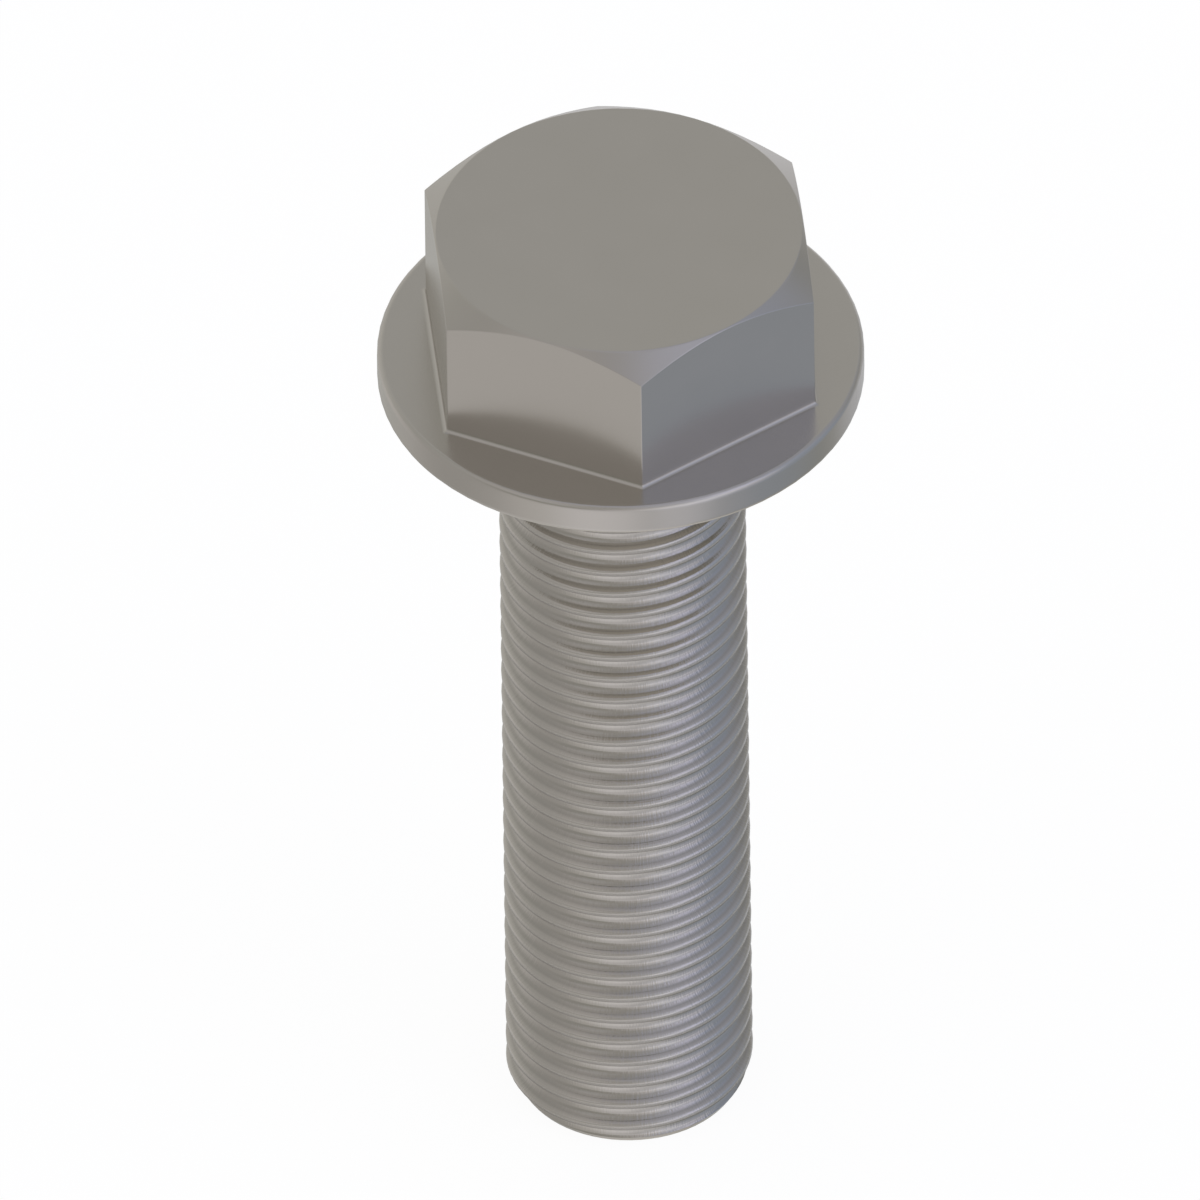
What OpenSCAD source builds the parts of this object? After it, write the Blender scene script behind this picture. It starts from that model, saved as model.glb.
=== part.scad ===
// Hex flange self-tapping screw, standing on its flat end with the head up.
// The screw's axis is Z. Z = 0 is the flat end face. One flat of the hexagon faces -Y.
// All sizes are in millimetres.

/* [View] */
// Piece to draw on its own, or all of them

/* [Thread] */
// Diameter over the crests
thread_d = 9.525; // [9.2:0.005:10]
// Distance from one crest to the next along the axis
thread_pitch = 1.095; // [0.95:0.005:1.4]
// Radial depth of the groove
thread_depth = 0.38; // [0.25:0.01:0.45]
// Width of the flat on the crest
crest_width = 0.22; // [0.14:0.01:0.3]
// Slope of each flank, measured from a plane square to the axis
flank_angle = 30; // [25:1:32]
// Direction round the axis in which the groove opens at the end face
thread_start = 132; // [0:1:359]

/* [Shank] */
// Length from the end face to the bearing face under the flange
shank_length = 35.6; // [16:0.1:42]
// Diameter of the flat end face
end_d = 8.64; // [7.6:0.01:8.7]
// Length of the chamfer that leads the thread into its hole
end_chamfer = 0.78; // [0.4:0.01:1.6]
// Diameter of the plain neck, which is the rod before its thread was rolled
neck_d = 9.12; // [8.9:0.01:9.18]
// Length of the plain neck under the flange
neck_length = 1.2; // [0.9:0.05:3]
// Radius of the fillet between the neck and the bearing face
neck_fillet = 0.3; // [0.1:0.05:0.5]

/* [Flange] */
// Outer diameter
flange_d = 18.78; // [17.6:0.01:20]
// Thickness from the bearing face to the flat upper face
flange_thickness = 1.36; // [1:0.01:2]
// Radius on both edges of the rim
rim_radius = 0.2; // [0.1:0.01:0.4]

/* [Hexagon] */
// Width across the flats
across_flats = 14.24; // [13:0.01:15]
// Height from the bearing face to the flat top
head_height = 7.39; // [6:0.01:9]
// Distance from the flats in to the turned circle on the top
chamfer_inset = 0.04; // [0.02:0.01:0.6]
// Slope of the turned chamfer on the six corners
chamfer_angle = 36.5; // [15:0.5:45]
// Radius of the fillet between the flats and the flange
base_fillet = 0.17; // [0.08:0.01:0.4]

/* [Hidden] */
steel = [0.57, 0.56, 0.52];
fine = 128;

thread_r = thread_d / 2;
root_r = thread_r - thread_depth;
neck_r = neck_d / 2;
neck_z = shank_length - neck_length;
run_in = thread_r - neck_r;

flange_z = shank_length + flange_thickness;
top_z = shank_length + head_height;
corner_r = across_flats / 2 / cos(30);
top_r = across_flats / 2 - chamfer_inset;

// The groove's cutting section reaches a little way outside the crests.
clearance = 0.08;
root_half = (thread_pitch - crest_width) / 2 - thread_depth * tan(flank_angle);
mouth_half = root_half + (thread_depth + clearance) * tan(flank_angle);
groove_section = [
  [root_r, -root_half],
  [root_r, root_half],
  [thread_r + clearance, mouth_half],
  [thread_r + clearance, -mouth_half]
];

// The groove starts one turn below the end face and runs out beside the neck.
turn_steps = 30;
groove_steps = floor((neck_z + 1.1 * thread_pitch) / thread_pitch * turn_steps);
runout_steps = 0.7 * turn_steps;

function runout(s) =
  max(s - groove_steps + runout_steps, 0) / runout_steps * (thread_depth + 0.04);

function on_helix(p, s) = [
  (p[0] + runout(s)) * cos(360 * s / turn_steps),
  (p[0] + runout(s)) * sin(360 * s / turn_steps),
  p[1] + thread_pitch * (s / turn_steps - 1)
];

// Two triangles for side k of the section between step s and the next.
function groove_side(s, k) =
  let (
    a = 4 * s + k,
    b = 4 * s + (k + 1) % 4
  )
  [[a, a + 4, b + 4], [a, b + 4, b]];

module thread_groove() {
  polyhedron(
    points = [for (s = [0:groove_steps]) each [for (p = groove_section) on_helix(p, s)]],
    faces = concat(
      [[0, 1, 2, 3]],
      [for (s = [0:groove_steps - 1], k = [0:3]) each groove_side(s, k)],
      [[for (k = [3:-1:0]) 4 * groove_steps + k]]
    ),
    convexity = 10
  );
}

// Rod with its end chamfer, stepping in to the neck above the thread.
module shank_blank() {
  rotate_extrude($fn = fine)
    polygon([
      [0, 0],
      [end_d / 2, 0],
      [thread_r, end_chamfer],
      [thread_r, neck_z - run_in],
      [neck_r, neck_z],
      [neck_r, neck_z + neck_length / 3],
      [0, neck_z + neck_length / 3]
    ]);
}

module threaded_shank() {
  difference() {
    shank_blank();
    thread_groove();
  }
}

// Half section of the flange, with both edges of its rim rounded.
module flange_section() {
  rim_r = flange_d / 2;
  translate([0, shank_length])
    square([rim_r - rim_radius, flange_thickness]);
  translate([0, shank_length + rim_radius])
    square([rim_r, flange_thickness - 2 * rim_radius]);
  for (z = [shank_length + rim_radius, flange_z - rim_radius])
    translate([rim_r - rim_radius, z])
      circle(r = rim_radius, $fn = fine);
}

// Half section of the neck, flaring into the bearing face.
module neck_section() {
  translate([0, neck_z + neck_length / 6])
    square([neck_r, neck_length]);
  difference() {
    translate([neck_r - 0.1, shank_length - neck_fillet])
      square([neck_fillet + 0.1, neck_fillet + 0.1]);
    translate([neck_r + neck_fillet, shank_length - neck_fillet])
      circle(r = neck_fillet, $fn = fine);
  }
}

module flange_and_neck() {
  rotate_extrude($fn = fine) {
    flange_section();
    neck_section();
  }
}

// Six-sided prism, turned to a shallow cone where its corners meet the top.
module hexagon() {
  cone_r = corner_r + 1;
  cone_drop = (cone_r - top_r) * tan(chamfer_angle);
  intersection() {
    translate([0, 0, shank_length + flange_thickness / 2])
      cylinder(h = head_height - flange_thickness / 2, r = corner_r, $fn = 6);
    union() {
      translate([0, 0, top_z - cone_drop])
        cylinder(h = cone_drop, r1 = cone_r, r2 = top_r, $fn = fine);
      translate([0, 0, shank_length])
        cylinder(h = head_height - cone_drop, r = cone_r, $fn = fine);
    }
  }
}

// Concave fillet round the foot of the hexagon: its section turned in six steps,
// which gives straight lengths with mitres at the corners.
module hexagon_foot() {
  arc_steps = 8;
  section = [
    for (k = [0:arc_steps])
      let (turn = 90 * k / arc_steps)
      [base_fillet * (1 - sin(turn)), base_fillet * (1 - cos(turn))]
  ];
  rotate_extrude($fn = 6)
    polygon(concat(
      [[0, shank_length + flange_thickness / 2]],
      [[(across_flats / 2 + base_fillet) / cos(30), shank_length + flange_thickness / 2]],
      [for (p = section) [(across_flats / 2 + p[0]) / cos(30), flange_z + p[1]]],
      [[0, flange_z + base_fillet]]
    ));
}

module screw() {
  color(steel) {
    rotate([0, 0, thread_start]) {
      threaded_shank();
      flange_and_neck();
    }
    hexagon();
    hexagon_foot();
  }
}

screw();
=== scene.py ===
"""Hex flange self-tapping screw in satin steel, standing on its flat end on a pale floor.

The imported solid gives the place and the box. One finer mesh of the same form stands for it:
a helical thread with rolled edges, and a forged head with small worn corners.
"""

import logging
import math
from dataclasses import dataclass, field
from enum import Enum

import bmesh
import bpy
import numpy as np
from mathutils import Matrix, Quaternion, Vector


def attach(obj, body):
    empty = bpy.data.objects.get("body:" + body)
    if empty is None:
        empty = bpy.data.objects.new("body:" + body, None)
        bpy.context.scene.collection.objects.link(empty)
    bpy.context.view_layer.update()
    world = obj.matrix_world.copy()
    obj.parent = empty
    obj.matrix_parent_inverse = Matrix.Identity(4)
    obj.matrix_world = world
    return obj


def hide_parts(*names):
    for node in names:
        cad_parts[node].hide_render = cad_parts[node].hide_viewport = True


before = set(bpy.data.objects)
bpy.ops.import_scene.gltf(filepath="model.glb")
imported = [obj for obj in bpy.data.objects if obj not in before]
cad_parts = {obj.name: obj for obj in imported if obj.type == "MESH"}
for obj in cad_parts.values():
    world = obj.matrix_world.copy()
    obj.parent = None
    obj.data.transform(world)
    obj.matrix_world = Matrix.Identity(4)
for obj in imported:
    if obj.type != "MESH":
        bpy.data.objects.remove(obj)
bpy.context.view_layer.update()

LOG = logging.getLogger("screw")
MM = 0.001
CAMERA_AZIMUTH = 24.6
Ring = list[int]


# Shader nodes


class Socket:
    """A node's output socket, on which Python's operators add Math nodes."""

    def __init__(self, graph: "Graph", link: bpy.types.NodeSocket) -> None:
        """Keeps the graph that new nodes go into, and the socket."""
        self.graph = graph
        self.link = link

    def _math(self, operation: str, a: object, b: object) -> "Socket":
        """Adds one Math node on a and b."""
        return self.graph.node("ShaderNodeMath", {"operation": operation}, {0: a, 1: b})

    def __add__(self, other: object) -> "Socket":
        """self + other"""
        return self._math("ADD", self, other)

    __radd__ = __add__

    def __mul__(self, other: object) -> "Socket":
        """self * other"""
        return self._math("MULTIPLY", self, other)

    __rmul__ = __mul__

    def __sub__(self, other: object) -> "Socket":
        """self - other"""
        return self._math("SUBTRACT", self, other)

    def __rsub__(self, other: object) -> "Socket":
        """other - self"""
        return self._math("SUBTRACT", other, self)

    def clamped(self) -> "Socket":
        """Returns self held between 0 and 1."""
        return self.graph.node(
            "ShaderNodeMath", {"operation": "ADD", "use_clamp": True}, {0: self, 1: 0.0}
        )


class Graph:
    """Adds nodes to one node tree and links them."""

    def __init__(self, tree: bpy.types.NodeTree) -> None:
        """Empties the tree."""
        self.tree = tree
        tree.nodes.clear()

    def node(
        self,
        kind: str,
        settings: dict[str, object] | None = None,
        inputs: dict[object, object] | None = None,
        out: object = 0,
    ) -> Socket:
        """Adds a node, sets it up and links it.

        Args:
            kind: The node's type name.
            settings: Its properties.
            inputs: Values or Sockets by input name or index.
            out: Name or index of the output that is returned.

        Returns:
            The chosen output, or the node's first one.
        """
        made = self.tree.nodes.new(kind)
        for name, value in (settings or {}).items():
            setattr(made, name, value)
        for name, value in (inputs or {}).items():
            if isinstance(value, Socket):
                self.tree.links.new(value.link, made.inputs[name])
            else:
                made.inputs[name].default_value = value
        if not made.outputs:
            return Socket(self, None)
        return Socket(self, made.outputs[out])

    def mix(self, factor: object, a: object, b: object) -> Socket:
        """Mixes two colours by a factor.

        Args:
            factor: 0 gives a, 1 gives b.
            a: Colour or Socket.
            b: Colour or Socket.

        Returns:
            The mixed colour.
        """
        made = self.node("ShaderNodeMix", {"data_type": "RGBA"}, {"Factor": factor})
        node = made.link.node
        for slot, value in ((6, a), (7, b)):
            if isinstance(value, Socket):
                self.tree.links.new(value.link, node.inputs[slot])
            else:
                node.inputs[slot].default_value = (*value, 1.0)
        return Socket(self, node.outputs[2])

    def scaled(self, colour: tuple[float, float, float], amount: Socket) -> Socket:
        """Gives a colour times a number."""
        return self.node(
            "ShaderNodeVectorMath", {"operation": "SCALE"}, {0: colour, "Scale": amount}
        )

    def added(self, a: Socket, b: Socket) -> Socket:
        """Gives the sum of two colours or vectors."""
        return self.node("ShaderNodeVectorMath", {"operation": "ADD"}, {0: a, 1: b})

    def noise(self, vector: Socket, scale: float, detail: float = 3.0) -> Socket:
        """Adds a Noise Texture and returns its 0 to 1 value."""
        return self.node(
            "ShaderNodeTexNoise", {}, {"Vector": vector, "Scale": scale, "Detail": detail}
        )


# Finishes


@dataclass(frozen=True)
class SatinSteel:
    """Plain cold-formed steel with a satin skin, streaked on the thread where it was rolled."""

    tone: tuple[float, float, float] = (0.583, 0.557, 0.517)
    # bright: the tone of worn edges, which also stands in as a painted highlight on them.
    bright: tuple[float, float, float] = (0.63, 0.605, 0.565)
    dull: tuple[float, float, float] = (0.567, 0.543, 0.503)
    # scale: a dark tone painted as shade, in the crease under each crest and on the lower part of the
    # flanks.
    scale: tuple[float, float, float] = (0.34, 0.325, 0.3)
    roughness: float = 0.24
    rolled_roughness: float = 0.11
    grain: float = 0.15
    streaks: float = 1.2
    marks: float = 6.0
    grain_per_mm: float = 14.0

    def material(self, name: str) -> bpy.types.Material:
        """Builds the material.

        Args:
            name: The material's name.

        Returns:
            The new material.
        """
        made = bpy.data.materials.new(name)
        made.use_nodes = True
        g = Graph(made.node_tree)
        place = g.node("ShaderNodeTexCoord", out="Object")
        wear = g.node("ShaderNodeAttribute", {"attribute_name": "wear"}, out="Fac")
        rolled = g.node("ShaderNodeAttribute", {"attribute_name": "rolled"}, out="Fac")
        streak_at = g.node("ShaderNodeAttribute", {"attribute_name": "streak"}, out="Vector")
        cloud = g.noise(place, 450.0, 2.0)
        fine = g.noise(place, self.grain_per_mm / MM, 2.0)
        streak = g.noise(streak_at, 1.0, 2.0)
        across = g.node(
            "ShaderNodeVectorMath", {"operation": "MULTIPLY"}, {0: streak_at, 1: (60.0, 0.07, 1.0)}
        )
        marks = g.noise(across, 1.0, 2.0)
        tone = g.mix((cloud * 1.6 - 0.3).clamped(), self.dull, self.tone)
        # Brighter on worn edges, partly a painted highlight.
        tone = g.mix((wear * (0.4 + fine * 0.6)).clamped(), tone, self.bright)
        # Below 0 the mark paints shade: the crease under each crest and the lower part of the flanks
        # turn darker.
        tone = g.mix((wear * -1.0).clamped(), tone, self.scale)
        rough = self.roughness + (cloud - 0.5) * 0.05 + (fine - 0.5) * 0.04
        rough = rough - rolled * (self.roughness - self.rolled_roughness)
        rough = rough + (streak - 0.5) * rolled * 0.06 - wear * 0.02
        height = fine * self.grain + (streak * self.streaks + marks * self.marks) * rolled
        bump = g.node(
            "ShaderNodeBump",
            {},
            {"Strength": 1.0, "Distance": 0.000002, "Height": height},
        )
        skin = g.node(
            "ShaderNodeBsdfPrincipled",
            {},
            {"Base Color": tone, "Metallic": 1.0, "Roughness": rough, "Normal": bump},
        )
        g.node("ShaderNodeOutputMaterial", {}, {"Surface": skin})
        return made


# The screw


class Zone(Enum):
    """The parts of the head's surface that a ring of points can follow."""

    ROUND = "circle"
    HEX = "hexagon"


@dataclass
class ThreadedShank:
    """Shank with a right-hand helical thread, a chamfered end and a run-out below the neck."""

    thread_r: float = 4.7625
    pitch: float = 1.095
    depth: float = 0.38
    crest_width: float = 0.22
    flank_angle: float = 30.0
    start: float = 132.0
    end_r: float = 4.32
    end_chamfer: float = 0.78
    neck_r: float = 4.56
    neck_z: float = 34.4
    upper_angle: float = 29.5
    upper_low: float = 0.055
    lower_low: float = 0.04
    crest_drop: float = 0.006
    edge_r: float = 0.08
    facet_angle: float = 47.0
    facet_length: float = 0.085
    facet_r: float = 0.15
    lower_edge_r: float = 0.05
    foot_angles: tuple[float, float] = (15.0, 28.0)
    foot_lengths: tuple[float, float] = (0.065, 0.16)
    foot_radii: tuple[float, float, float] = (0.42, 0.05, 0.45)
    root_fillet: float = 0.2
    turn_steps: int = 72
    runout_turns: float = 0.7
    columns: list[Ring] = field(default_factory=list)

    def _section(self, rise: float) -> list[tuple[float, float, float]]:
        """Gives one pitch of the thread's profile, from crest centre to crest centre.

        Args:
            rise: How far the groove's floor is lifted, in the run-out.

        Returns:
            (height from the groove's centre, radius, mark) of each point; the mark is above 0 on worn
            edges, which get a painted highlight, and below 0 where painted shade goes.
        """
        tan = math.tan(math.radians(self.flank_angle))
        left = max(self.depth - rise, 0.0)
        share = left / self.depth
        floor_half = (self.pitch - self.crest_width) / 2 - self.depth * tan
        mouth_half = floor_half + left * tan
        floor_r = self.thread_r - left
        edge_r = self.thread_r - self.crest_drop * share
        low, high = (math.radians(angle) for angle in self.foot_angles)
        near, far = (length * share for length in self.foot_lengths)
        lift = near * math.sin(low) + far * math.sin(high)
        steep = math.tan(math.radians(self.upper_angle))
        top_z = -mouth_half - self.upper_low * share
        edge_z = mouth_half - self.lower_low * share
        facet, length = math.radians(self.facet_angle), self.facet_length * share
        brow = (top_z + length * math.cos(facet), edge_r - length * math.sin(facet))
        upper = (brow[0] + (brow[1] - floor_r - lift) * steep, floor_r + lift)
        middle = (upper[0] + far * math.cos(high), floor_r + near * math.sin(low))
        foot = [upper, middle, (middle[0] + near * math.cos(low), floor_r)]
        corners = [
            (-self.pitch / 2, self.thread_r),
            (top_z, edge_r),
            brow,
            *foot,
            (floor_half, floor_r),
            (edge_z, edge_r),
            (self.pitch / 2, self.thread_r),
        ]
        radii = [self.edge_r, self.facet_r, *self.foot_radii, self.root_fillet, self.lower_edge_r]
        parts = [6, 3, 6, 3, 4, 4, 5]
        # Marks: the crest's centre and its upper edge (corner 0) are worn and get a painted highlight;
        # the flank's foot (corner 2) and the crest's lower edge (corner 6) get painted shade, a dark
        # line in the crease under each crest and a darker lower flank.
        points = [(corners[0][0], corners[0][1], 0.15)]
        for k, (radius, count) in enumerate(zip(radii, parts)):
            wear = {0: (1.0, 1.0), 2: (-0.45, -0.15), 6: (-1.0, -1.0)}
            points += self._rounded(corners[k : k + 3], radius * share, count, wear.get(k, (0, 0)))
        # A last point of painted shade on the crest, just above its lower edge, widens the dark line.
        points.append((edge_z + 0.055 * share, edge_r + 0.002 * share, -0.5 * share))
        return points

    @staticmethod
    def _rounded(
        corners: list[tuple[float, float]], radius: float, count: int, worn: tuple[float, float]
    ) -> list[tuple[float, float, float]]:
        """Rounds one corner of the profile.

        Args:
            corners: The corner before it, the corner itself and the one after it.
            radius: The rounding's radius.
            count: How many points to give.
            worn: The mark at its start and at its end: above 0 on worn edges, which get a painted
                highlight, and below 0 for painted shade.

        Returns:
            The points from one tangent to the other.
        """
        before, corner, after = (Vector(c) for c in corners)
        a, b = (before - corner).normalized(), (after - corner).normalized()
        half = max(a.angle(b, math.pi) / 2, 0.01)
        first, last = (corner + side * (radius / math.tan(half)) for side in (a, b))
        centre = corner + (a + b).normalized() * (radius / math.sin(half)) if radius else corner
        out = []
        for n in range(count):
            aim = (first - centre).lerp(last - centre, n / (count - 1))
            p = centre + aim.normalized() * radius if radius > 1e-6 else corner
            out.append((p.x, p.y, worn[0] + (worn[1] - worn[0]) * n / (count - 1)))
        return out

    def _blank(self, z: np.ndarray) -> np.ndarray:
        """Gives the plain rod's radius at each height: chamfer, rod, and step in to the neck."""
        cone = self.end_r + (self.thread_r - self.end_r) / self.end_chamfer * z
        step = self.neck_r + (self.neck_z - z)
        return np.minimum(np.minimum(cone, self.thread_r), step)

    def build(self, mesh: "MeshBuilder") -> Ring:
        """Builds the threaded rod from the end face up to the neck.

        Args:
            mesh: Where the points and faces go.

        Returns:
            The ring of points round the foot of the neck.
        """
        steps = self.turn_steps
        first = -2 * steps
        last = int((self.neck_z / self.pitch + 3) * steps)
        groove_end = (self.neck_z + 1.1 * self.pitch) / self.pitch
        count = len(self._section(0.0))
        js = np.arange(first, last)
        angle = js * (360.0 / steps)
        turns = (angle - self.start) / 360.0
        z = np.zeros((len(js), count))
        r = np.zeros_like(z)
        wear = np.zeros_like(z)
        across = np.zeros_like(z)
        for row, turn in enumerate(turns):
            past = max(turn - groove_end + self.runout_turns, 0.0)
            rise = past / self.runout_turns * (self.depth + 0.04)
            section = self._section(min(rise, self.depth))
            run = 0.0
            for col, (dz, radius, worn) in enumerate(section):
                if col:
                    run += math.dist(section[col][:2], section[col - 1][:2])
                z[row, col] = self.pitch * (turn - 1) + dz
                r[row, col] = radius
                wear[row, col] = worn * min(1.0, (self.depth - min(rise, self.depth)) * 6)
                across[row, col] = run
        self._fit_to_blank(z, r, steps)
        # The end face's rim is worn and gets a painted highlight.
        bottom = [
            mesh.point_at(self.end_r, k * 360.0 / steps, 0.0, wear=0.6) for k in range(steps)
        ]
        top = [mesh.point_at(self.neck_r, k * 360.0 / steps, self.neck_z) for k in range(steps)]
        index = np.zeros(z.shape, int)
        for row, j in enumerate(js):
            for col in range(count):
                if z[row, col] <= 1e-9:
                    index[row, col] = bottom[j % steps]
                elif z[row, col] >= self.neck_z - 1e-9:
                    index[row, col] = top[j % steps]
                else:
                    index[row, col] = mesh.point_at(
                        r[row, col],
                        angle[row],
                        z[row, col],
                        wear=wear[row, col],
                        rolled=1.0,
                        streak=(
                            math.radians(angle[row]) * self.thread_r * 0.25,
                            across[row, col] * 22.0,
                            0.0,
                        ),
                    )
        for row in range(len(js) - 1):
            if row + steps + 1 >= len(js):
                break
            for col in range(count):
                if col + 1 < count:
                    up, up_next = index[row, col + 1], index[row + 1, col + 1]
                else:
                    up, up_next = index[row + steps, 0], index[row + steps + 1, 0]
                mesh.face([index[row, col], index[row + 1, col], up_next, up])
        centre = mesh.point((0.0, 0.0, 0.0))
        inner = bottom
        for share in (0.985, 0.9, 0.6, 0.3):
            ring = [
                mesh.point_at(self.end_r * share, k * 360.0 / steps, 0.0) for k in range(steps)
            ]
            mesh.bridge(ring, inner)
            inner = ring
        for k in range(steps):
            mesh.face([centre, inner[(k + 1) % steps], inner[k]])
        return top

    def _fit_to_blank(self, z: np.ndarray, r: np.ndarray, steps: int) -> None:
        """Cuts the thread to the rod's outline, with points moved on to the lines where they meet.

        Args:
            z: Heights by step and profile point, changed in place.
            r: Radii, changed in place.
            steps: Steps to one turn.
        """
        rows, count = z.shape
        kinks = (self.end_chamfer, self.neck_z - (self.thread_r - self.neck_r))
        for m in range(steps):
            column = [(row, col) for row in range(m, rows, steps) for col in range(count)]
            rr = np.array([r[p] for p in column])
            zz = np.array([z[p] for p in column])
            cone = self.end_r + (self.thread_r - self.end_r) / self.end_chamfer * zz
            gap = np.where(zz < 3.0, cone, self.neck_r + self.neck_z - zz) - rr
            near = (zz > -0.2) & (zz < self.neck_z + 0.3)
            for k in range(len(column) - 1):
                if not (near[k] and near[k + 1]) or gap[k] * gap[k + 1] >= 0:
                    continue
                u = gap[k] / (gap[k] - gap[k + 1])
                hit = (zz[k] + (zz[k + 1] - zz[k]) * u, rr[k] + (rr[k + 1] - rr[k]) * u)
                z[column[k if u < 0.5 else k + 1]], r[column[k if u < 0.5 else k + 1]] = hit
            for kink in kinks:
                k = int(np.argmin(np.abs(zz - kink)))
                if rr[k] > self.thread_r - 1e-4:
                    z[column[k]] = kink
        np.minimum(r, self._blank(z), out=r)


@dataclass
class ForgedHead:
    """Hexagon head in one with its round flange and the plain neck below it."""

    across_flats: float = 14.24
    bearing_z: float = 35.6
    flange_d: float = 18.778
    flange_thickness: float = 1.36
    head_height: float = 7.39
    rim_r: float = 0.2
    foot_fillet: float = 0.17
    chamfer_inset: float = 0.04
    chamfer_angle: float = 36.5
    neck_r: float = 4.56
    neck_fillet: float = 0.3
    corner_r: float = 0.03
    worn_edge: float = 0.012
    angle_step: float = 5.0

    def _angles(self) -> list[float]:
        """Gives the angles of a ring's points, closer together at the hexagon's corners."""
        out = []
        near = [0.0, 0.08, 0.16, 0.24, 0.5, 1.2, 2.6]
        for side in range(6):
            corner = side * 60.0
            out += [corner + a for a in near]
            out += [corner + a for a in np.arange(self.angle_step, 59.9, self.angle_step)]
            out += [corner + 60.0 - a for a in reversed(near[1:])]
        return sorted(out)

    def _hex_radius(self, angle: float, offset: float = 0.0) -> float:
        """Gives the hexagon's radius at an angle, with small rounded corners.

        Args:
            angle: In degrees; corners lie at multiples of 60.
            offset: How far outside the flats the outline runs.

        Returns:
            The radius in millimetres.
        """
        flat = self.across_flats / 2 + offset
        from_corner = abs((angle + 30.0) % 60.0 - 30.0)
        sharp = flat / math.cos(math.radians(30.0 - from_corner))
        centre = (flat - self.corner_r) / math.cos(math.radians(30.0))
        swing = centre * math.sin(math.radians(from_corner))
        if swing >= self.corner_r * 0.5:
            return sharp
        rounded = centre * math.cos(math.radians(from_corner))
        return min(sharp, rounded + math.sqrt(self.corner_r**2 - swing**2))

    def _ring(
        self, mesh: "MeshBuilder", zone: Zone, size: float, height: object, wear: float = 0.0
    ) -> Ring:
        """Adds one ring of points round the axis.

        Args:
            mesh: Where the points go.
            zone: ROUND for a circle, HEX for the hexagon's outline.
            size: The circle's radius, or the offset from the flats.
            height: The height, or a function of (angle, radius) that gives it.
            wear: How worn the surface is there; worn edges also get a painted highlight.

        Returns:
            The ring's points.
        """
        out = []
        for angle in self._angles():
            radius = size if zone is Zone.ROUND else self._hex_radius(angle, size)
            z = height(angle, radius) if callable(height) else height
            out.append(mesh.point_at(radius, angle, z, wear=wear))
        return out

    def _neck_and_flange(self, mesh: "MeshBuilder") -> list[Ring]:
        """Adds the rings of the neck, the bearing face, the rim and the flange's upper face."""
        rings = []
        low, rim = self.bearing_z, self.flange_d / 2 - self.rim_r
        fillet = self.neck_fillet

        def add(r: float, z: float, wear: float = 0.0) -> None:
            """Adds a circle."""
            rings.append(self._ring(mesh, Zone.ROUND, r, z, wear))

        add(self.neck_r, low - 1.15)
        add(self.neck_r, low - fillet - 0.1)
        for k in range(9):
            t = math.radians(90.0 * k / 8)
            add(
                self.neck_r + fillet * (1 - math.cos(t)),
                low - fillet + fillet * math.sin(t),
            )
        for r in (5.0, 6.5, 8.0, rim - 0.25, rim - 0.06):
            add(r, low)
        # Both rim fillets are worn and get a painted highlight.
        for k in range(9):
            t = math.radians(90.0 * k / 8)
            add(rim + self.rim_r * math.sin(t), low + self.rim_r * (1 - math.cos(t)), 0.5)
        high = low + self.flange_thickness
        add(rim + self.rim_r, low + self.rim_r + 0.08)
        add(rim + self.rim_r, high - self.rim_r - 0.08)
        for k in range(9):
            t = math.radians(90.0 * k / 8)
            add(rim + self.rim_r * math.cos(t), high - self.rim_r * (1 - math.sin(t)), 0.5)
        add(rim - 0.06, high)
        add(rim - 0.25, high)
        return rings

    def _hexagon(self, mesh: "MeshBuilder") -> list[Ring]:
        """Adds the rings of the foot fillet, the flats, the chamfer and the flat top."""
        rings = []
        floor = self.bearing_z + self.flange_thickness
        top = self.bearing_z + self.head_height
        top_r = self.across_flats / 2 - self.chamfer_inset
        slope = math.tan(math.radians(self.chamfer_angle))
        fillet, worn = self.foot_fillet, self.worn_edge

        def hexagon(offset: float, z: object, wear: float = 0.0) -> None:
            """Adds a ring that follows the flats."""
            rings.append(self._ring(mesh, Zone.HEX, offset, z, wear))

        def circle(r: float, z: float, wear: float = 0.0) -> None:
            """Adds a circle."""
            rings.append(self._ring(mesh, Zone.ROUND, r, z, wear))

        hexagon(fillet + 0.05, floor)
        for k in range(9):
            t = math.radians(90.0 * k / 8)
            hexagon(fillet * (1 - math.sin(t)), floor + fillet * (1 - math.cos(t)))

        def edge(angle: float, radius: float) -> float:
            """Gives the height at which the chamfer meets the flats."""
            return top - (radius - top_r) * slope

        low = floor + fillet
        for share in (0.02, 0.25, 0.5, 0.75):
            hexagon(0.0, lambda a, r, s=share: low + (edge(a, r) - low) * s)
        hexagon(0.0, lambda a, r: edge(a, r) - 2.2 * worn)
        # The edge where the flats meet the chamfer is worn and gets a painted highlight.
        hexagon(0.0, lambda a, r: edge(a, r) - worn, 0.5)
        for inward, drop, wear in ((0.25, 0.3, 1.0), (1.0, 0.0, 0.5), (2.2, 0.0, 0.0)):
            ring = []
            for angle in self._angles():
                outer = self._hex_radius(angle)
                r = outer - min(worn * inward, (outer - top_r) * 0.3 * inward / 2.2)
                ring.append(
                    mesh.point_at(r, angle, edge(angle, r) - worn * drop, wear=wear)
                )
            rings.append(ring)
        for share in (0.5, 0.9):
            ring = []
            for angle in self._angles():
                outer = self._hex_radius(angle)
                outer -= min(worn * 2.2, (outer - top_r) * 0.3)
                r = outer + (top_r + 0.006 - outer) * share
                ring.append(mesh.point_at(r, angle, edge(angle, r)))
            rings.append(ring)
        # The top circle's edge is worn and gets a painted highlight.
        circle(top_r + 0.006, edge(0.0, top_r + 0.006), 0.4)
        circle(top_r - 0.01, top, 0.4)
        for r in (top_r - 0.03, top_r - 0.3, 6.0, 4.5, 3.0, 1.5):
            circle(r, top)
        return rings

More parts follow.
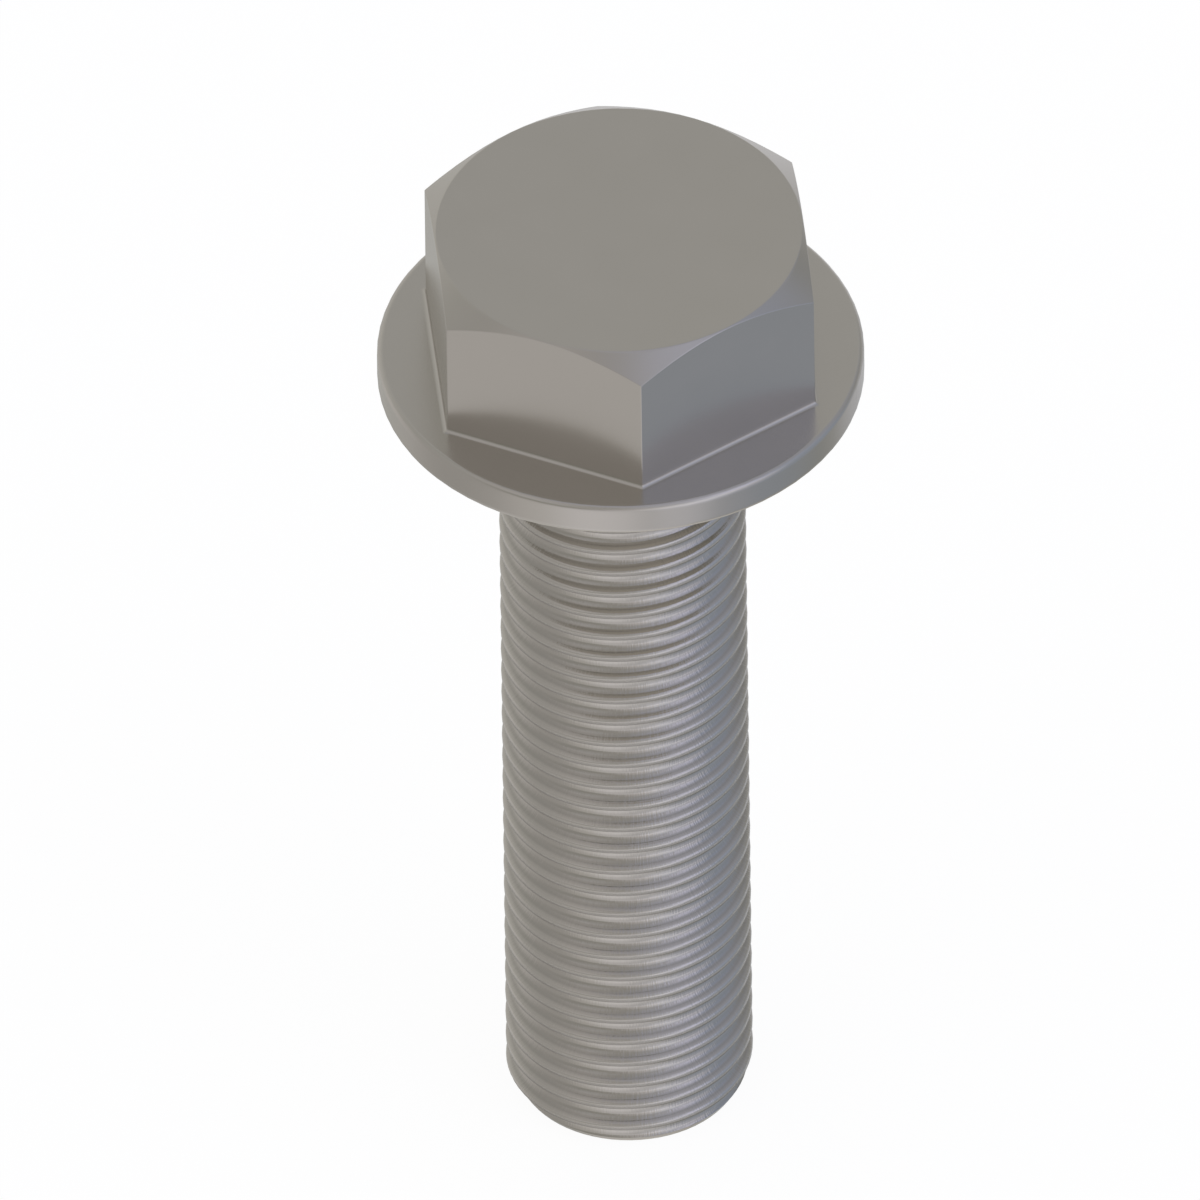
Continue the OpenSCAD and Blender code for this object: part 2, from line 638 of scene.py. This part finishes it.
    def build(self, mesh: "MeshBuilder", foot: Ring) -> None:
        """Builds the head on top of the neck's foot ring.

        Args:
            mesh: Where the points and faces go.
            foot: The shank's top ring, with a point at every step of angle.
        """
        rings = self._neck_and_flange(mesh) + self._hexagon(mesh)
        angles = self._angles()
        coarse = len(foot)
        step = 360.0 / coarse
        for k in range(coarse):
            low, high = k * step, (k + 1) * step
            span = [i for i, a in enumerate(angles) if low - 1e-6 <= a <= high + 1e-6]
            if k == coarse - 1:
                span.append(0)
            upper = [rings[0][i] for i in span]
            mesh.face([foot[k], foot[(k + 1) % coarse], *reversed(upper)])
        for lower, upper in zip(rings, rings[1:]):
            mesh.bridge(lower, upper)
        top = self.bearing_z + self.head_height
        centre = mesh.point((0.0, 0.0, top))
        last = rings[-1]
        for k in range(len(last)):
            mesh.face([last[k], last[(k + 1) % len(last)], centre])


class MeshBuilder:
    """Collects points in millimetres, with what the finish needs to know at each, and faces."""

    def __init__(self) -> None:
        """Starts empty."""
        self.points: list[tuple[float, float, float]] = []
        self.faces: list[list[int]] = []
        self.wear: list[float] = []
        self.rolled: list[float] = []
        self.streak: list[tuple[float, float, float]] = []

    def point(
        self,
        place: tuple[float, float, float],
        wear: float = 0.0,
        rolled: float = 0.0,
        streak: tuple[float, float, float] = (0.0, 0.0, 0.0),
    ) -> int:
        """Adds a point.

        Args:
            place: Its place in millimetres.
            wear: 1 on a worn edge, which also gets a painted highlight; below 0 for painted shade.
            rolled: 1 where the surface was rolled.
            streak: Place along and across the rolling marks.

        Returns:
            The point's number.
        """
        self.points.append(place)
        self.wear.append(wear)
        self.rolled.append(rolled)
        self.streak.append(streak)
        return len(self.points) - 1

    def point_at(self, radius: float, angle: float, z: float, **marks: object) -> int:
        """Adds a point by radius, angle in degrees and height, and returns its number."""
        t = math.radians(angle)
        return self.point((radius * math.cos(t), radius * math.sin(t), z), **marks)

    def face(self, corners: list[int]) -> None:
        """Adds a face, leaving out corners that repeat and faces that have shrunk to a line."""
        kept = [int(c) for k, c in enumerate(corners) if c != corners[k - 1]]
        if len(kept) > 2 and len(set(kept)) == len(kept):
            self.faces.append(kept)

    def bridge(self, lower: Ring, upper: Ring) -> None:
        """Joins two rings of as many points with quads that face outwards."""
        n = len(lower)
        for k in range(n):
            m = (k + 1) % n
            self.face([lower[k], lower[m], upper[m], upper[k]])

    def finish(self, name: str, sharp_from: float = 24.0) -> bpy.types.Object:
        """Makes the object.

        Args:
            name: The object's name.
            sharp_from: Edges that turn by more degrees than this stay sharp.

        Returns:
            The new object, in metres, in the row's frame.
        """
        data = bpy.data.meshes.new(name)
        data.from_pydata([[c * MM for c in p] for p in self.points], [], self.faces)
        for label, values in (("wear", self.wear), ("rolled", self.rolled)):
            data.attributes.new(label, "FLOAT", "POINT").data.foreach_set("value", values)
        flat = [c for p in self.streak for c in p]
        data.attributes.new("streak", "FLOAT_VECTOR", "POINT").data.foreach_set("vector", flat)
        data.validate()
        bm = bmesh.new()
        bm.from_mesh(data)
        loose = [v for v in bm.verts if not v.link_faces]
        bmesh.ops.delete(bm, geom=loose, context="VERTS")
        for poly in bm.faces:
            poly.smooth = True
        limit = math.radians(sharp_from)
        for line in bm.edges:
            line.smooth = len(line.link_faces) == 2 and line.calc_face_angle(0.0) < limit
        bm.to_mesh(data)
        bm.free()
        made = bpy.data.objects.new(name, data)
        bpy.context.scene.collection.objects.link(made)
        return made


@dataclass
class Screw:
    """The whole screw: one forged and rolled piece."""

    shank: ThreadedShank = field(default_factory=ThreadedShank)
    head: ForgedHead = field(default_factory=ForgedHead)
    finish: SatinSteel = field(default_factory=SatinSteel)

    def build(self) -> bpy.types.Object:
        """Builds and dresses the screw, and hides the imported solid that it stands for."""
        mesh = MeshBuilder()
        foot = self.shank.build(mesh)
        self.head.build(mesh, foot)
        made = mesh.finish("screw_body")
        made.data.materials.append(self.finish.material("satin_steel"))
        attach(made, "root")
        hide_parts("screw")
        LOG.info("%s: %d faces", made.name, len(made.data.polygons))
        return made


# The studio


@dataclass(frozen=True)
class Card:
    """A large soft card round the object; azimuth 0 is towards the camera, 90 is to its right."""

    azimuth: float
    elevation: float
    spread: float
    softness: float
    strength: float
    tint: tuple[float, float, float] = (1.0, 1.0, 1.0)


@dataclass
class Studio:
    """Pale floor, pale surround and soft light."""

    floor_size: float = 6.0
    floor_gap: float = 0.00002
    shadow_share: float = 0.15
    white: float = 1.09
    ambient: tuple[float, float, float] = (0.332, 0.332, 0.308)
    cards: tuple[Card, ...] = (
        Card(-18.0, -75.0, 44.0, 0.50, 0.24, (0.94, 0.93, 1.00)),
        Card(3.0, -31.0, 37.0, 0.50, 0.21, (0.84, 0.83, 1.00)),
        Card(-24.0, -30.0, 34.0, 0.64, 0.16, (1.00, 0.94, 0.94)),
        Card(-86.0, -18.0, 57.0, 0.50, 0.11, (1.00, 0.90, 1.00)),
        Card(102.0, -83.0, 38.0, 0.50, 0.14, (1.00, 0.88, 0.80)),
        Card(152.0, -17.0, 45.0, 0.55, 0.25, (0.79, 0.81, 1.00)),
        Card(14.0, 4.0, 32.0, 0.50, 0.18, (0.91, 0.87, 1.00)),
        Card(46.0, -16.0, 30.0, 0.50, 0.14, (1.00, 0.82, 0.79)),
        Card(51.0, 38.0, 19.0, 1.00, 0.26, (0.85, 0.77, 1.00)),
        Card(-36.0, 36.0, 19.0, 0.50, 0.11, (0.77, 0.81, 1.00)),
        Card(-78.0, 51.0, 33.0, 0.50, 0.10, (0.95, 0.89, 1.00)),
        Card(101.0, 63.0, 53.0, 0.76, 0.17, (0.38, 0.48, 1.00)),
        Card(205.0, 1.0, 72.0, 0.99, 0.26, (1.00, 0.98, 1.00)),
        Card(70.0, -2.0, 58.0, 0.50, 0.17, (0.13, 0.38, 1.00)),
        Card(-4.0, 52.0, 61.0, 0.50, 0.09, (1.00, 0.87, 0.92)),
        Card(31.0, -29.0, 19.0, 0.51, 0.19, (0.77, 0.81, 1.00)),
        Card(30.0, 1.0, 26.0, 0.50, 0.26, (0.97, 0.97, 1.00)),
        Card(56.0, 15.0, 22.0, 0.50, 0.25, (1.00, 0.88, 0.93)),
        Card(36.0, 41.0, 33.0, 0.50, 0.14, (0.55, 0.65, 1.00)),
    )

    def _background_ray(self, g: Graph) -> Socket:
        """Gives 1 on the rays that show the background: camera, glossy and transmission."""
        seen = g.node("ShaderNodeLightPath", out="Is Camera Ray")
        node = seen.link.node
        glossy = Socket(g, node.outputs["Is Glossy Ray"])
        through = Socket(g, node.outputs["Is Transmission Ray"])
        return (seen + glossy + through).clamped()

    def build_floor(self) -> bpy.types.Object:
        """Builds the floor, which keeps a faint soft shadow and lets the steel mirror the surround."""
        half, low = self.floor_size / 2, -self.floor_gap
        data = bpy.data.meshes.new("floor")
        data.from_pydata(
            [(-half, -half, low), (half, -half, low), (half, half, low), (-half, half, low)],
            [],
            [(0, 1, 2, 3)],
        )
        made = bpy.data.objects.new("floor", data)
        bpy.context.scene.collection.objects.link(made)
        made.visible_glossy = False
        paper = bpy.data.materials.new("pale_floor")
        paper.use_nodes = True
        g = Graph(paper.node_tree)
        plain = g.node("ShaderNodeBsdfDiffuse", {}, {"Color": (0.9, 0.9, 0.9, 1.0)})
        white = g.node(
            "ShaderNodeEmission", {}, {"Color": (1.0, 1.0, 1.0, 1.0), "Strength": self.white}
        )
        share = self._background_ray(g) * (1.0 - self.shadow_share)
        both = g.node("ShaderNodeMixShader", {}, {"Fac": share, 1: plain, 2: white})
        g.node("ShaderNodeOutputMaterial", {}, {"Surface": both})
        data.materials.append(paper)
        return made

    def build_world(self) -> None:
        """Sets the surround: white behind the object, pale and soft where the steel mirrors it."""
        world = bpy.data.worlds.new("surround")
        bpy.context.scene.world = world
        world.use_nodes = True
        g = Graph(world.node_tree)
        toward = g.node("ShaderNodeTexCoord", out="Generated")
        total = g.node(
            "ShaderNodeCombineXYZ", {}, {0: self.ambient[0], 1: self.ambient[1], 2: self.ambient[2]}
        )
        for card in self.cards:
            total = g.added(total, g.scaled(card.tint, self._card(g, toward, card)))
        seen = g.node("ShaderNodeLightPath", out="Is Camera Ray")
        colour = g.mix(seen, total, (1.0, 1.0, 1.0))
        glow = g.node("ShaderNodeBackground", {}, {"Color": colour, "Strength": 1.0})
        g.node("ShaderNodeOutputWorld", {}, {"Surface": glow})

    @staticmethod
    def _card(g: Graph, toward: Socket, card: "Card") -> Socket:
        """Gives how strongly one soft card shows in a direction.

        Args:
            g: The world's graph.
            toward: The direction.
            card: The card.

        Returns:
            Its strength there, which fades smoothly to 0 at its rim.
        """
        aim = direction(CAMERA_AZIMUTH + card.azimuth, card.elevation)
        facing = g.node(
            "ShaderNodeVectorMath", {"operation": "DOT_PRODUCT"}, {0: toward, 1: aim}, out="Value"
        )
        inner = math.cos(math.radians(card.spread * (1.0 - card.softness)))
        outer = math.cos(math.radians(card.spread))
        near = ((facing - outer) * (1.0 / (inner - outer))).clamped()
        return near * near * (3.0 - 2.0 * near) * card.strength

    def build_lamps(self) -> None:
        """Adds two large soft lamps, warm on the left and cool on the right."""
        for name, azimuth, elevation, size, power, colour in (
            ("lamp_left", -50.0, 50.0, 0.3, 0.08, (1.0, 0.97, 0.93)),
            ("lamp_right", 64.0, 50.0, 0.3, 0.06, (0.95, 0.95, 1.0)),
        ):
            data = bpy.data.lights.new(name, "AREA")
            data.shape, data.size = "DISK", size
            data.energy, data.color = power, colour
            lamp = bpy.data.objects.new(name, data)
            bpy.context.scene.collection.objects.link(lamp)
            toward = direction(CAMERA_AZIMUTH + azimuth, elevation)
            lamp.location = toward * 0.5 + Vector((0.0, 0.0, 0.022))
            lamp.rotation_euler = toward.to_track_quat("Z", "Y").to_euler()
            lamp.visible_glossy = False


def direction(azimuth: float, elevation: float) -> Vector:
    """Gives the unit vector from the object; azimuth 0 is -Y, and 90 is +X.

    Args:
        azimuth: In degrees round Z.
        elevation: In degrees above the floor.

    Returns:
        The direction.
    """
    a, e = math.radians(azimuth), math.radians(elevation)
    return Vector((math.sin(a) * math.cos(e), -math.cos(a) * math.cos(e), math.sin(e)))


@dataclass
class ViewCamera:
    """Camera at the photograph's angle, with parallel rays."""

    azimuth: float = CAMERA_AZIMUTH
    elevation: float = 41.45
    width: float = 46.24
    aim_z: float = 23.98
    aim_right: float = -0.915
    roll: float = 0.737
    distance: float = 0.4

    def build(self) -> None:
        """Creates the camera and makes it the scene's."""
        data = bpy.data.cameras.new("camera")
        data.type = "ORTHO"
        data.ortho_scale = self.width * MM
        data.clip_start, data.clip_end = 0.001, 20.0
        made = bpy.data.objects.new("camera", data)
        bpy.context.scene.collection.objects.link(made)
        a = math.radians(self.azimuth)
        right = Vector((math.cos(a), math.sin(a), 0.0))
        aim = Vector((0.0, 0.0, self.aim_z * MM)) + right * (self.aim_right * MM)
        back = direction(self.azimuth, self.elevation)
        made.location = aim + back * self.distance
        turn = back.to_track_quat("Z", "Y")
        made.rotation_mode = "QUATERNION"
        made.rotation_quaternion = turn @ Quaternion((0.0, 0.0, 1.0), math.radians(-self.roll))
        bpy.context.scene.camera = made


def main() -> None:
    """Builds the screw, the studio and the camera."""
    logging.basicConfig(level=logging.INFO, format="%(name)s: %(message)s")
    bpy.context.scene.view_settings.view_transform = "Standard"
    Screw().build()
    studio = Studio()
    studio.build_floor()
    studio.build_world()
    studio.build_lamps()
    ViewCamera().build()


if __name__ == "__main__":
    main()
